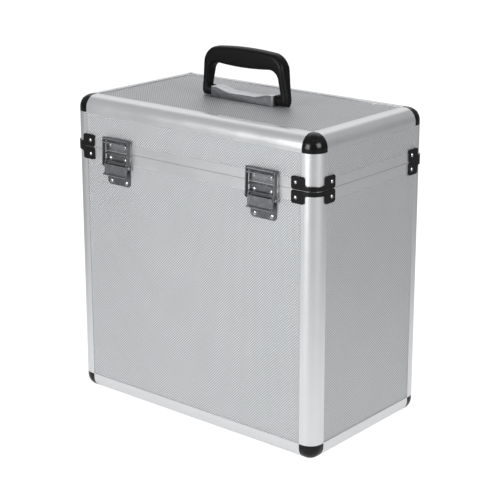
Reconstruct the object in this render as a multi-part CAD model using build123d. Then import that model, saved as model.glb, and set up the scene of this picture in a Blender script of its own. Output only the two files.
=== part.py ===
from build123d import *
import math
import os

# An aluminium-framed disc case: a tall base, a shallow hinged lid, two draw latches and a folding handle.
# Origin: middle of the case on the surface it stands on. +X right, -Y front (latches), +Z up. Millimetres.

# Overall case, without the handle
case_width = 370.0
case_depth = 210.0
case_height = 380.0
lid_height = 62.0
split_gap = 0.4

# Boards
panel_thickness = 4.0
lining_thickness = 3.0
lid_pad_thickness = 8.0

# Edge extrusion, the same section on every outer edge
edge_leg = 20.0
edge_radius = 15.5
flange_thickness = 1.2
inner_flange_thickness = 1.2
inner_flange_reach = 18.0
inner_chamfer = 5.0
slot_start = 13.0
slot_end_clearance = 0.3
screw_port_radius = 2.0
peg_clearance = 0.1
peg_length = 8.0

# Rim extrusions at the split
lid_rim_height = 11.1
base_rim_height = 12.8
rim_web = 5.0
tongue_width = 1.6
tongue_height = 2.2
tongue_side_clearance = 0.6
tongue_top_clearance = 0.6
rim_inner_setback = 1.6

# Corner braces
brace_thickness = 1.5
brace_inner = 15.0
brace_reach = 33.0
brace_height = 15.2
brace_band = 5.4
brace_gap = 0.2
brace_corner_radius = 2.8
brace_rivet_inset = 27.0
brace_rivet_height = 8.3

# Rivets
rivet_head_radius = 2.3
rivet_head_height = 1.1
rivet_shank_radius = 1.3

# Draw latches
latch_inset = 73.0
latch_sheet = 1.2
latch_rivet_spacing = 24.6
strike_width = 35.0
strike_bottom = 0.8
strike_lip_height = 11.5
strike_lip_reach = 10.4
strike_lip_upturn = 1.9
strike_rivet_height = 7.9
latch_plate_width = 37.0
latch_plate_top = 0.8
latch_plate_bottom = 41.2
latch_plate_chamfer = 3.0
joggle_length = 1.8
joggle_setback = 0.6
latch_upper_rivet = 8.6
latch_lower_rivet = 36.7
latch_ear_offset = 15.9
latch_ear_radius = 2.0
lever_pivot_out = 3.4
lever_pivot_drop = 11.5
lever_pin_radius = 1.0
lever_sheet = 1.0
lever_width = 35.8
lever_face_out = 5.8
lever_top = 15.2
lever_lip_start = 26.6
lever_bottom = 28.8
lever_lip_reach = 9.2
loop_pivot_out = 4.8
loop_pivot_drop = 16.2
loop_pin_radius = 1.0
loop_pin_head_radius = 1.8
loop_pin_head_height = 0.8
loop_width = 42.0
loop_sheet = 1.2
loop_rear = 0.8
loop_front = 9.6
loop_drop = 18.6
loop_shoulder = 12.4
loop_return = 1.5
loop_bar_radius = 2.6
loop_bar_bore = 1.5
loop_bar_out = 7.0
loop_bar_height = 15.2
loop_bar_inset = 0.5
pin_clearance = 0.05

# Rear hinges
hinge_inset = 73.0
hinge_width = 52.0
hinge_sheet = 1.4
hinge_leaf_height = 27.0
hinge_axis_out = 3.3
hinge_knuckle_radius = 3.0
hinge_pin_radius = 1.5
hinge_knuckle_count = 5
hinge_knuckle_gap = 0.3
hinge_rivet_spacing = 34.0
hinge_rim_rivet = 7.6
hinge_panel_rivet = 20.6
hinge_corner_radius = 3.0

# Handle and its bracket
handle_width = 133.0
handle_rise = 65.4
handle_crown = 2.8
handle_leg_width = 15.0
handle_leg_depth = 14.0
handle_grip_depth = 22.0
handle_opening_rise = 42.0
handle_grip_bulge = 1.2
handle_outer_radius = 17.0
handle_inner_radius = 11.0
handle_outer_edge_radius = 5.5
handle_inner_edge_radius = 4.0
handle_pivot_rise = 6.2
handle_pin_radius = 2.5
handle_pin_depth = 11.0
bracket_gap = 0.5
bracket_depth = 19.0
bracket_sheet = 1.5
bracket_end_rise = 14.4
bracket_middle_rise = 10.4
bracket_dish_inset = 14.0
bracket_dish_slope = 14.0
bracket_rivet_inset = 16.0
backing_plate_overhang = 4.0
backing_plate_sheet = 1.5

# Disc divider and its channels
divider_thickness = 4.0
divider_height = 250.0
divider_clearance = 0.15
divider_end_clearance = 0.4
channel_width = 12.0
channel_depth = 8.0
channel_web = 2.0

# Values worked out from those above
half_width = case_width / 2
half_depth = case_depth / 2
split_height = case_height - lid_height
lid_base = split_height + split_gap
panel_inner = flange_thickness + panel_thickness
frame_inner = panel_inner + inner_flange_thickness
panel_edge = slot_start + slot_end_clearance
port_place = (edge_radius * (2 - math.sqrt(2)) + 2 * frame_inner + inner_chamfer) / 4
lining_edge = inner_flange_reach + slot_end_clearance
lining_face = panel_inner + lining_thickness
handle_pivot_height = case_height + handle_pivot_rise
panel_top = case_height - flange_thickness
hinge_axis_y = half_depth + hinge_axis_out
latch_spacing = case_width - 2 * latch_inset
hinge_spacing = case_width - 2 * hinge_inset
bracket_length = handle_width - 2 * (handle_leg_width + bracket_gap)
bracket_rivet_spacing = bracket_length - 2 * bracket_rivet_inset
backing_plate_length = bracket_length + 2 * backing_plate_overhang
backing_plate_depth = bracket_depth + 2 * backing_plate_overhang

corners = [(-1, -1), (1, -1), (1, 1), (-1, 1)]
left_and_right = [("left", -1), ("right", 1)]


def block(low, high):
    """A box between two opposite corners."""
    size = [abs(b - a) for a, b in zip(low, high)]
    middle = [(a + b) / 2 for a, b in zip(low, high)]
    return Pos(*middle) * Box(*size)


def rod(radius, start, end):
    """A round rod between two points."""
    axis = Vector(*end) - Vector(*start)
    return extrude(Plane(origin=start, z_dir=axis.normalized()) * Circle(radius), axis.length)


def bent_sheet(points, thickness, bend_radius, width):
    """Sheet metal bent along a middle line given as (y, z) points, as wide as width along X."""
    line = FilletPolyline(*points, radius=bend_radius)
    return extrude(Plane.YZ * trace(line, line_width=thickness), width / 2, both=True)


def side_plate(points, x, thickness):
    """A flat plate across X, centred at x, with a (y, z) outline."""
    outline = make_face(Polyline(*points, close=True))
    return Pos(x, 0, 0) * extrude(Plane.YZ * outline, thickness / 2, both=True)


def turned_to(corner, shape):
    """A shape made at the front left corner, mirrored to another corner."""
    if corner[0] > 0:
        shape = mirror(shape, about=Plane.YZ)
    if corner[1] > 0:
        shape = mirror(shape, about=Plane.XZ)
    return shape


def rivet(place, outward, grip):
    """A domed rivet on a face: place is on the top of the plate, grip is the plate's thickness."""
    dome_radius = (rivet_head_radius**2 + rivet_head_height**2) / (2 * rivet_head_height)
    dome_middle = rivet_head_height - dome_radius
    lean = math.sqrt(0.5)
    shoulder = (dome_radius * lean, dome_middle + dome_radius * lean)
    if shoulder[1] < 0 or shoulder[0] > rivet_head_radius:
        shoulder = (rivet_head_radius * 0.6, dome_middle + math.sqrt(dome_radius**2 - (rivet_head_radius * 0.6) ** 2))
    half = make_face(
        Curve()
        + Line((0, -grip), (rivet_shank_radius, -grip))
        + Line((rivet_shank_radius, -grip), (rivet_shank_radius, 0))
        + Line((rivet_shank_radius, 0), (rivet_head_radius, 0))
        + ThreePointArc((rivet_head_radius, 0), shoulder, (0, rivet_head_height))
        + Line((0, rivet_head_height), (0, -grip))
    )
    turned = revolve(Plane.XZ * half, axis=Axis.Z)
    return Plane(origin=place, z_dir=outward) * turned


def rivet_hole(place, outward, grip):
    """The hole that a rivet's shank fills."""
    start = Vector(*place) - Vector(*outward) * grip
    return rod(rivet_shank_radius, start, place)


# Aluminium frame


def edge_section():
    """Edge extrusion: a rounded outer skin, two board slots, an inner angle and a round screw port."""
    outer = Pos(edge_leg / 2, edge_leg / 2) * Rectangle(edge_leg, edge_leg)
    outer = fillet(outer.vertices().sort_by(lambda v: v.X + v.Y)[0], edge_radius)
    room = edge_leg - frame_inner
    inside = Pos(frame_inner + room / 2, frame_inner + room / 2) * Rectangle(room, room)
    inside = chamfer(inside.vertices().sort_by(lambda v: v.X + v.Y)[0], inner_chamfer)
    section = outer - inside - Pos(port_place, port_place) * Circle(screw_port_radius)
    slot_length = edge_leg - slot_start
    trim = edge_leg - inner_flange_reach
    depth = flange_thickness + panel_thickness / 2
    slot = Pos(slot_start + slot_length / 2, depth) * Rectangle(slot_length, panel_thickness)
    lip = Pos(edge_leg - trim / 2, frame_inner - inner_flange_thickness / 2) * Rectangle(trim, inner_flange_thickness)
    for cut in (slot, lip):
        section = section - cut - mirror(cut, about=Plane(origin=(0, 0, 0), z_dir=(1, -1, 0)))
    return section


def edge_piece(start, direction, inward, across, length):
    """One cut length of the edge extrusion from a corner point of the case."""
    direction = Vector(*direction)
    first = Vector(*inward)
    if direction.cross(first).dot(Vector(*across)) < 0:
        first = Vector(*across)
    return extrude(Plane(origin=start, x_dir=first, z_dir=direction) * edge_section(), length)


def corner_profiles(bottom, top):
    """The four upright edge extrusions between two heights."""
    return [
        edge_piece((sx * half_width, sy * half_depth, bottom), (0, 0, 1), (-sx, 0, 0), (0, -sy, 0), top - bottom)
        for sx, sy in corners
    ]


def level_profiles(height, inward_z):
    """The four level edge extrusions round the floor or the lid's top, between the corner caps."""
    along_x = case_width - 2 * edge_leg
    along_y = case_depth - 2 * edge_leg
    pieces = []
    for side in (-1, 1):
        start = (edge_leg - half_width, side * half_depth, height)
        pieces.append(edge_piece(start, (1, 0, 0), (0, -side, 0), (0, 0, inward_z), along_x))
        start = (side * half_width, edge_leg - half_depth, height)
        pieces.append(edge_piece(start, (0, 1, 0), (-side, 0, 0), (0, 0, inward_z), along_y))
    return pieces


def rim_section(height, grooved):
    """Rim extrusion: x is depth in from the outer face, y is distance from the split."""
    body = Pos(frame_inner / 2, height / 2) * Rectangle(frame_inner, height)
    slot_height = height - rim_web
    middle = flange_thickness + panel_thickness / 2
    slot = Pos(middle, rim_web + slot_height / 2) * Rectangle(panel_thickness, slot_height)
    setback = Pos(frame_inner - inner_flange_thickness / 2, height - rim_inner_setback / 2)
    section = body - slot - setback * Rectangle(inner_flange_thickness, rim_inner_setback)
    if grooved:
        groove_height = tongue_height + tongue_top_clearance - split_gap
        groove_width = tongue_width + 2 * tongue_side_clearance
        return section - Pos(middle, groove_height / 2) * Rectangle(groove_width, groove_height)
    return section + Pos(middle, -tongue_height / 2) * Rectangle(tongue_width, tongue_height)


def rim_profiles(level, upward, height, grooved):
    """The four rim extrusions on one side of the split, between the upright extrusions."""
    section = rim_section(height, grooved)
    pieces = []
    for side in (-1, 1):
        for outward, length, reach in (
            ((0, side, 0), case_width - 2 * edge_leg, half_depth),
            ((side, 0, 0), case_depth - 2 * edge_leg, half_width),
        ):
            inward = -Vector(*outward)
            up = Vector(0, 0, upward)
            run = inward.cross(up)
            start = Vector(*outward) * reach + Vector(0, 0, level) - run * (length / 2)
            pieces.append(extrude(Plane(origin=start, x_dir=inward, z_dir=run) * section, length))
    return pieces


def corner_cap():
    """Moulded ball corner at the front left of the floor, with pegs for three screw ports."""
    size = edge_leg
    cap = Box(size, size, size, align=(Align.MIN,) * 3)
    outer_edges = [e for e in cap.edges() if e.center().length < size * 0.6]
    cap = fillet(outer_edges, edge_radius)
    room = Pos(frame_inner, frame_inner, frame_inner) * Box(size, size, size, align=(Align.MIN,) * 3)
    room_corner = Vector(frame_inner, frame_inner, frame_inner)
    room_edges = [e for e in room.edges() if (e.center() - room_corner).length < size * 0.6]
    cap -= chamfer(room_edges, inner_chamfer)
    slot = ((slot_start, slot_start, flange_thickness), (size, size, panel_inner))
    trim = ((inner_flange_reach, inner_flange_reach, panel_inner), (size, size, frame_inner))
    for low, high in (slot, trim):
        for turn in range(3):
            cap -= block(low[turn:] + low[:turn], high[turn:] + high[:turn])
    peg_radius = screw_port_radius - peg_clearance
    for turn in range(3):
        start = [port_place, port_place, port_place + screw_port_radius]
        end = [port_place, port_place, size + peg_length]
        cap += rod(peg_radius, start[turn:] + start[:turn], end[turn:] + end[:turn])
    return Pos(-half_width, -half_depth, 0) * cap


def corner_caps(at_lid):
    """The four ball corners of the floor, or those of the lid's top."""
    cap = corner_cap()
    if at_lid:
        cap = mirror(cap, about=Plane(origin=(0, 0, case_height / 2), z_dir=(0, 0, 1)))
    return [turned_to(corner, cap) for corner in corners]


# Boards and linings


def upright_boards(bottom, top, outer, inner, edge):
    """Front, back, left and right boards between two depths from the case's outer faces."""
    reach_x = half_width - edge
    reach_y = half_depth - edge
    boards = {}
    for name, side in (("front", -1), ("back", 1)):
        low = (-reach_x, side * (half_depth - outer), bottom)
        boards[name] = block(low, (reach_x, side * (half_depth - inner), top))
    for name, side in left_and_right:
        low = (side * (half_width - outer), -reach_y, bottom)
        boards[name] = block(low, (side * (half_width - inner), reach_y, top))
    return boards


def level_board(low, high, edge):
    """A floor or top board between two heights, held edge in from the outer faces."""
    reach_x = half_width - edge
    reach_y = half_depth - edge
    return block((-reach_x, -reach_y, low), (reach_x, reach_y, high))


# Corner braces


def corner_brace():
    """Brace below the split at the front left corner: two riveted plates and a band round the extrusion."""
    t = brace_thickness
    size = brace_reach + t
    middle = (brace_reach - t) / 2
    outer = fillet(
        (Pos(middle, middle) * Rectangle(size, size)).vertices().sort_by(lambda v: v.X + v.Y)[0], edge_radius + t
    )
    inner = Pos(brace_reach / 2, brace_reach / 2) * Rectangle(brace_reach, brace_reach)
    inner = fillet(inner.vertices().sort_by(lambda v: v.X + v.Y)[0], edge_radius)
    wrap = extrude(outer - inner, brace_height)
    low, band, top = brace_gap, brace_band, brace_height
    outline = make_face(
        Polyline(
            (-2 * t, low),
            (brace_reach, low),
            (brace_reach, top),
            (brace_inner, top),
            (brace_inner, band),
            (-2 * t, band),
            close=True,
        )
    )
    round_off = [v for v in outline.vertices() if v.X > 0]
    outline = fillet(round_off, brace_corner_radius)
    front = extrude(Plane(origin=(0, -2 * t, 0), x_dir=(1, 0, 0), z_dir=(0, -1, 0)) * outline, -edge_leg / 2)
    side = mirror(front, about=Plane(origin=(0, 0, 0), z_dir=(1, -1, 0)))
    brace = (wrap & front) + (wrap & side)
    brace -= rivet_hole((brace_rivet_inset, -t, brace_rivet_height), (0, -1, 0), t)
    brace -= rivet_hole((-t, brace_rivet_inset, brace_rivet_height), (-1, 0, 0), t)
    return brace


def brace_rivets():
    """The two rivets of the front left brace."""
    t = brace_thickness
    return [
        rivet((brace_rivet_inset, -t, brace_rivet_height), (0, -1, 0), t),
        rivet((-t, brace_rivet_inset, brace_rivet_height), (-1, 0, 0), t),
    ]


def at_split_corners(shapes, level, upward):
    """Copies of shapes made at the origin's corner, at the four corners above or below the split."""
    placed = []
    for corner in corners:
        for shape in shapes:
            if not upward:
                shape = mirror(shape, about=Plane.XY)
            placed.append(turned_to(corner, Pos(-half_width, -half_depth, level) * shape))
    return placed


# Draw latches, made at x = 0 on the front face and then moved


def front(out, up):
    """A (y, z) point so far out from the front face and so far above the split."""
    return (-half_depth - out, split_height + up)


def row_places(height, out, spacing, along=0.0):
    """Places of two rivets in a level row on the front face."""
    y, z = front(out, height)
    return [(along + side * spacing / 2, y, z) for side in (-1, 1)]


def latch_strike():
    """Strike riveted to the lid's rim, with a lip that the loop's bar hooks over."""
    half = latch_sheet / 2
    points = [
        front(half, strike_bottom),
        front(half, strike_lip_height),
        front(strike_lip_reach, strike_lip_height),
        front(strike_lip_reach, strike_lip_height + strike_lip_upturn),
    ]
    plate = bent_sheet(points, latch_sheet, latch_sheet * 0.75, strike_width)
    for place in row_places(strike_rivet_height, latch_sheet, latch_rivet_spacing):
        plate -= rivet_hole(place, (0, -1, 0), latch_sheet)
    return plate


def latch_base_plate():
    """Base plate riveted to the base's rim and board, joggled between them, with two pivot ears."""
    half = latch_sheet / 2
    step = -base_rim_height - joggle_setback
    points = [
        front(half, -latch_plate_top),
        front(half, step),
        front(half - flange_thickness, step - joggle_length),
        front(half - flange_thickness, -latch_plate_bottom),
    ]
    plate = bent_sheet(points, latch_sheet, latch_sheet, latch_plate_width)
    bottom_edges = plate.edges().filter_by(Axis.Y).group_by(Axis.Z)[0]
    plate = chamfer(bottom_edges, latch_plate_chamfer)
    pivot_y, pivot_z = front(lever_pivot_out, -lever_pivot_drop)
    for side in (-1, 1):
        x = side * latch_ear_offset
        ear = side_plate(
            [
                front(half, -lever_pivot_drop + latch_ear_radius),
                (pivot_y, pivot_z + latch_ear_radius),
                (pivot_y, pivot_z - latch_ear_radius),
                front(half, -lever_pivot_drop - latch_ear_radius),
            ],
            x,
            latch_sheet,
        )
        tip = rod(latch_ear_radius, (x - half, pivot_y, pivot_z), (x + half, pivot_y, pivot_z))
        plate = plate + ear + tip
    reach = latch_plate_width / 2
    plate -= rod(lever_pin_radius, (-reach, pivot_y, pivot_z), (reach, pivot_y, pivot_z))
    for place in row_places(-latch_upper_rivet, latch_sheet, latch_rivet_spacing):
        plate -= rivet_hole(place, (0, -1, 0), latch_sheet)
    for place in row_places(-latch_lower_rivet, 0, latch_rivet_spacing):
        plate -= rivet_hole(place, (0, -1, 0), latch_sheet)
    return plate


def lever_pin():
    """Pin through the base plate's ears that the lever turns on."""
    y, z = front(lever_pivot_out, -lever_pivot_drop)
    reach = lever_width / 2
    return rod(lever_pin_radius, (-reach, y, z), (reach, y, z))


def latch_lever():
    """Pressed lever: a plate with a flared finger lip and two side ears."""
    half = lever_sheet / 2
    points = [
        front(lever_face_out, -lever_top),
        front(lever_face_out, -lever_lip_start),
        front(lever_lip_reach, -lever_bottom + half),
    ]
    lever = bent_sheet(points, lever_sheet, lever_sheet * 1.5, lever_width)
    pivot_y, pivot_z = front(lever_pivot_out, -lever_pivot_drop)
    loop_y, loop_z = front(loop_pivot_out, -loop_pivot_drop)
    ear_radius = latch_ear_radius
    ear_x = lever_width / 2 - half
    for side in (-1, 1):
        x = side * ear_x
        ear = side_plate(
            [
                (pivot_y + ear_radius, pivot_z),
                (pivot_y - ear_radius, pivot_z),
                front(lever_face_out, -lever_top),
                front(lever_face_out, -lever_lip_start + lever_sheet),
                (loop_y + ear_radius, loop_z - ear_radius),
            ],
            x,
            lever_sheet,
        )
        tip = rod(ear_radius, (x - half, pivot_y, pivot_z), (x + half, pivot_y, pivot_z))
        lever = lever + ear + tip
    reach = lever_width / 2
    pivot_bore = lever_pin_radius + pin_clearance
    lever -= rod(pivot_bore, (-reach, pivot_y, pivot_z), (reach, pivot_y, pivot_z))
    lever -= rod(loop_pin_radius, (-reach, loop_y, loop_z), (reach, loop_y, loop_z))
    return lever


def loop_pin():
    """Headed pin across the lever that carries the draw loop."""
    y, z = front(loop_pivot_out, -loop_pivot_drop)
    reach = loop_width / 2 + 2 * pin_clearance
    tip = reach + loop_pin_head_height
    pin = rod(loop_pin_radius, (-reach, y, z), (reach, y, z))
    for side in (-1, 1):
        pin += rod(loop_pin_head_radius, (side * reach, y, z), (side * tip, y, z))
    return pin


def draw_loop():
    """Draw loop: two side flanges with narrow front returns and a rolled bar that hooks over the strike."""
    bar_y, bar_z = front(loop_bar_out, loop_bar_height)
    flange_x = loop_width / 2 - loop_sheet / 2
    loop = None
    for side in (-1, 1):
        x = side * flange_x
        outline = [
            front(loop_rear, -loop_drop),
            front(loop_front, -loop_drop),
            front(loop_front, loop_bar_height),
            front(loop_bar_out, loop_bar_height + loop_bar_radius),
            front(loop_rear, loop_shoulder),
        ]
        flange = side_plate(outline, x, loop_sheet)
        half = loop_sheet / 2
        nose = rod(loop_bar_radius, (x - half, bar_y, bar_z), (x + half, bar_y, bar_z))
        inner = side * (loop_width / 2 - loop_sheet)
        front_y, low_z = front(loop_front, -loop_drop)
        back_y, high_z = front(loop_front - loop_sheet, loop_shoulder)
        lip = block((inner, front_y, low_z), (inner - side * loop_return, back_y, high_z))
        part = flange + nose + lip
        loop = part if loop is None else loop + part
    reach = loop_width / 2 - loop_bar_inset
    loop += rod(loop_bar_radius, (-reach, bar_y, bar_z), (reach, bar_y, bar_z))
    full = loop_width / 2
    loop -= rod(loop_bar_bore, (-full, bar_y, bar_z), (full, bar_y, bar_z))
    pivot_y, pivot_z = front(loop_pivot_out, -loop_pivot_drop)
    bore = loop_pin_radius + pin_clearance
    return loop - rod(bore, (-full, pivot_y, pivot_z), (full, pivot_y, pivot_z))


# Rear hinges, made at x = 0 on the back face and then moved


def back(out, up):
    """A (y, z) point so far out from the back face and so far above the split."""
    return (half_depth + out, split_height + up)


def knuckle_spans(odd):
    """Start and end along X of every other knuckle."""
    pitch = hinge_width / hinge_knuckle_count
    spans = []
    for index in range(hinge_knuckle_count):
        if index % 2 == odd:
            start = -hinge_width / 2 + index * pitch
            low = start + (hinge_knuckle_gap / 2 if index > 0 else 0)
            high = start + pitch - (hinge_knuckle_gap / 2 if index < hinge_knuckle_count - 1 else 0)
            spans.append((low, high))
    return spans


def hinge_rivet_places(upward):
    """Places and grips of a leaf's four rivets: two on the rim and two on the board."""
    places = []
    for out, distance in ((hinge_sheet, hinge_rim_rivet), (hinge_sheet - flange_thickness, hinge_panel_rivet)):
        y, z = back(out, upward * distance + (split_gap if upward > 0 else 0))
        places += [(side * hinge_rivet_spacing / 2, y, z) for side in (-1, 1)]
    return places


def hinge_leaf(upward):
    """A joggled leaf with its knuckles: upward is 1 on the lid and -1 on the base."""
    half = hinge_sheet / 2
    level = split_gap if upward > 0 else 0.0
    step = (lid_rim_height if upward > 0 else base_rim_height) + joggle_setback
    points = [
        back(half, level),
        back(half, level + upward * step),
        back(half - flange_thickness, level + upward * (step + joggle_length)),
        back(half - flange_thickness, level + upward * hinge_leaf_height),
    ]
    leaf = bent_sheet(points, hinge_sheet, hinge_sheet, hinge_width)
    far = leaf.edges().filter_by(Axis.Y).sort_by(lambda e: upward * e.center().Z)[-2:]
    leaf = fillet(far, hinge_corner_radius)
    axis_y, axis_z = back(hinge_axis_out, 0)
    own = knuckle_spans(1 if upward > 0 else 0)
    other = knuckle_spans(0 if upward > 0 else 1)
    for low, high in own:
        leaf += rod(hinge_knuckle_radius, (low, axis_y, axis_z), (high, axis_y, axis_z))
    room = hinge_knuckle_radius + hinge_knuckle_gap
    for low, high in other:
        leaf -= rod(
            room, (low - hinge_knuckle_gap, axis_y, axis_z), (high + hinge_knuckle_gap, axis_y, axis_z)
        )
    bore = hinge_pin_radius + (pin_clearance if upward > 0 else 0)
    reach = hinge_width / 2
    leaf -= rod(bore, (-reach, axis_y, axis_z), (reach, axis_y, axis_z))
    for place in hinge_rivet_places(upward):
        leaf -= rivet_hole(place, (0, 1, 0), hinge_sheet)
    return leaf


def hinge_pin():
    """Plain pin through all the knuckles."""
    axis_y, axis_z = back(hinge_axis_out, 0)
    reach = hinge_width / 2
    return rod(hinge_pin_radius, (-reach, axis_y, axis_z), (reach, axis_y, axis_z))


# Handle


def handle_front_outline():
    """Front view of the grip as one face in X and Z, feet down."""
    outer = handle_width / 2
    inner = outer - handle_leg_width
    foot = handle_pivot_height - handle_leg_depth / 2
    shoulder = case_height + handle_rise - handle_crown
    crown = case_height + handle_rise
    opening = case_height + handle_opening_rise
    bulge = opening - handle_grip_bulge
    outside = make_face(
        Curve()
        + Line((-outer, foot), (outer, foot))
        + Line((outer, foot), (outer, shoulder))
        + ThreePointArc((outer, shoulder), (0, crown), (-outer, shoulder))
        + Line((-outer, shoulder), (-outer, foot))
    )
    low = foot - handle_leg_depth
    inside = make_face(
        Curve()
        + Line((-inner, low), (inner, low))
        + Line((inner, low), (inner, opening))
        + ThreePointArc((inner, opening), (0, bulge), (-inner, opening))
        + Line((-inner, opening), (-inner, low))
    )
    outside = fillet(outside.vertices().group_by(Axis.Y)[-1], handle_outer_radius)
    inside = fillet(inside.vertices().group_by(Axis.Y)[-1], handle_inner_radius)
    return outside - inside


def handle_side_outline():
    """Side view of the grip in Y and Z: round feet on the pivot, widening to the full grip."""
    leg = handle_leg_depth / 2
    grip = handle_grip_depth / 2
    pivot = handle_pivot_height
    waist = pivot + handle_leg_depth
    wide = case_height + handle_opening_rise - handle_inner_radius / 2
    top = case_height + handle_rise + handle_crown
    return make_face(
        Curve()
        + ThreePointArc((-leg, pivot), (0, pivot - leg), (leg, pivot))
        + Line((leg, pivot), (leg, waist))
        + Bezier((leg, waist), (leg, (waist + wide) / 2), (grip, (waist + wide) / 2), (grip, wide))
        + Line((grip, wide), (grip, top))
        + Line((grip, top), (-grip, top))
        + Line((-grip, top), (-grip, wide))
        + Bezier((-grip, wide), (-grip, (waist + wide) / 2), (-leg, (waist + wide) / 2), (-leg, waist))
        + Line((-leg, waist), (-leg, pivot))
    )


def handle_grip():
    """Moulded grip: the front view cut to the side view, with every long edge rounded."""
    slab = extrude(Plane.XZ * handle_front_outline(), handle_grip_depth, both=True)
    mould = extrude(Plane.YZ * handle_side_outline(), handle_width, both=True)
    grip = slab & mould
    inner = handle_width / 2 - handle_leg_width
    opening = case_height + handle_opening_rise
    long_edges = [e for e in grip.edges() if e.bounding_box().size.Z > 0.01]
    round_opening = [e for e in long_edges if abs(e.center().X) < inner + 0.1 and e.center().Z < opening + 0.1]
    grip = fillet([e for e in long_edges if e not in round_opening], handle_outer_edge_radius)
    long_edges = [e for e in grip.edges() if e.bounding_box().size.Z > 0.01]
    round_opening = [e for e in long_edges if abs(e.center().X) < inner + 0.1 and e.center().Z < opening + 0.1]
    grip = fillet(round_opening, handle_inner_edge_radius)
    bore = handle_pin_radius + pin_clearance
    for side in (-1, 1):
        start = (side * (inner - 1), 0, handle_pivot_height)
        end = (side * (inner + handle_pin_depth + 0.5), 0, handle_pivot_height)
        grip -= rod(bore, start, end)
    return grip


def handle_pins():
    """Two pins from the bracket's end walls into the grip's feet."""
    wall = bracket_length / 2 - bracket_sheet
    tip = handle_width / 2 - handle_leg_width + handle_pin_depth
    return [
        rod(handle_pin_radius, (side * wall, 0, handle_pivot_height), (side * tip, 0, handle_pivot_height))
        for side in (-1, 1)
    ]


def bracket_rivet_places():
    """Places of the bracket's two rivets, on its floor."""
    z = panel_top + bracket_sheet
    return [(side * bracket_rivet_spacing / 2, 0, z) for side in (-1, 1)]


def bracket_grip():
    """Length of the bracket rivets through the bracket, the lid's board and the backing plate."""
    return bracket_sheet + panel_thickness + backing_plate_sheet


def handle_bracket():
    """Pressed tray between the grip's feet, its long walls dished in the middle."""
    end_top = case_height + bracket_end_rise
    half_length = bracket_length / 2
    half_tray = bracket_depth / 2
    tray = block((-half_length, -half_tray, panel_top), (half_length, half_tray, end_top))
    upright = tray.edges().filter_by(Axis.Z)
    tray = fillet(upright, bracket_sheet * 1.5)
    tray -= block(
        (bracket_sheet - half_length, bracket_sheet - half_tray, panel_top + bracket_sheet),
        (half_length - bracket_sheet, half_tray - bracket_sheet, end_top),
    )
    wide = half_length - bracket_dish_inset
    narrow = wide - bracket_dish_slope
    dish_low = case_height + bracket_middle_rise
    dish = make_face(
        Curve()
        + Bezier((-wide, end_top), (-(wide + narrow) / 2, end_top), (-(wide + narrow) / 2, dish_low), (-narrow, dish_low))
        + Line((-narrow, dish_low), (narrow, dish_low))
        + Bezier((narrow, dish_low), ((wide + narrow) / 2, dish_low), ((wide + narrow) / 2, end_top), (wide, end_top))
        + Line((wide, end_top), (-wide, end_top))
    )
    tray -= extrude(Plane.XZ * dish, bracket_depth, both=True)
    for side in (-1, 1):
        wall = side * (half_length - bracket_sheet)
        tray -= rod(handle_pin_radius, (wall, 0, handle_pivot_height), (side * half_length, 0, handle_pivot_height))
    for place in bracket_rivet_places():
        tray -= rivet_hole(place, (0, 0, 1), bracket_sheet)
    return tray


def backing_plate():
    """Plate inside the lid that spreads the handle's load."""
    top = case_height - panel_inner
    half_length = backing_plate_length / 2
    plate = block(
        (-half_length, -backing_plate_depth / 2, top - backing_plate_sheet),
        (half_length, backing_plate_depth / 2, top),
    )
    plate = fillet(plate.edges().filter_by(Axis.Z), bracket_sheet * 2)
    for place in bracket_rivet_places():
        plate -= rivet_hole(place, (0, 0, 1), bracket_grip())
    return plate


# Disc divider


def channel(side):
    """Channel on the front or back lining that holds one edge of the divider."""
    face = side * (half_depth - lining_face)
    nose = face - side * channel_depth
    seat = face - side * channel_web
    half = divider_thickness / 2 + divider_clearance
    top = lining_face + divider_height
    body = block((-channel_width / 2, face, lining_edge), (channel_width / 2, nose, top))
    return body - block((-half, seat, lining_edge), (half, nose, top))


def divider():
    """Board between the two channels, with a finger scoop in its top edge."""
    reach = half_depth - lining_face - channel_web - divider_end_clearance
    half = divider_thickness / 2
    top = lining_face + divider_height
    board = block((-half, -reach, lining_face), (half, reach, top))
    scoop_radius = reach * 0.75
    scoop = Pos(0, 0, top + scoop_radius * 0.75) * Rot(0, 90, 0) * Cylinder(scoop_radius, case_width)
    return board - scoop


# Build every piece


def pair(shape):
    """Left and right copies of a latch piece."""
    return [Pos(side * latch_spacing / 2, 0, 0) * shape for name, side in left_and_right]


def hinge_pair(shapes):
    """Copies of hinge pieces at both hinges."""
    return [Pos(side * hinge_spacing / 2, 0, 0) * shape for name, side in left_and_right for shape in shapes]


def frame_parts():
    """Aluminium extrusions and moulded corners of the base and the lid."""
    return {
        "base_corner_profiles": corner_profiles(edge_leg, split_height),
        "base_bottom_profiles": level_profiles(0, 1),
        "base_rim_profiles": rim_profiles(split_height, -1, base_rim_height, False),
        "base_corner_caps": corner_caps(False),
        "lid_corner_profiles": corner_profiles(lid_base, case_height - edge_leg),
        "lid_top_profiles": level_profiles(case_height, -1),
        "lid_rim_profiles": rim_profiles(lid_base, 1, lid_rim_height, True),
        "lid_corner_caps": corner_caps(True),
    }


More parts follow.
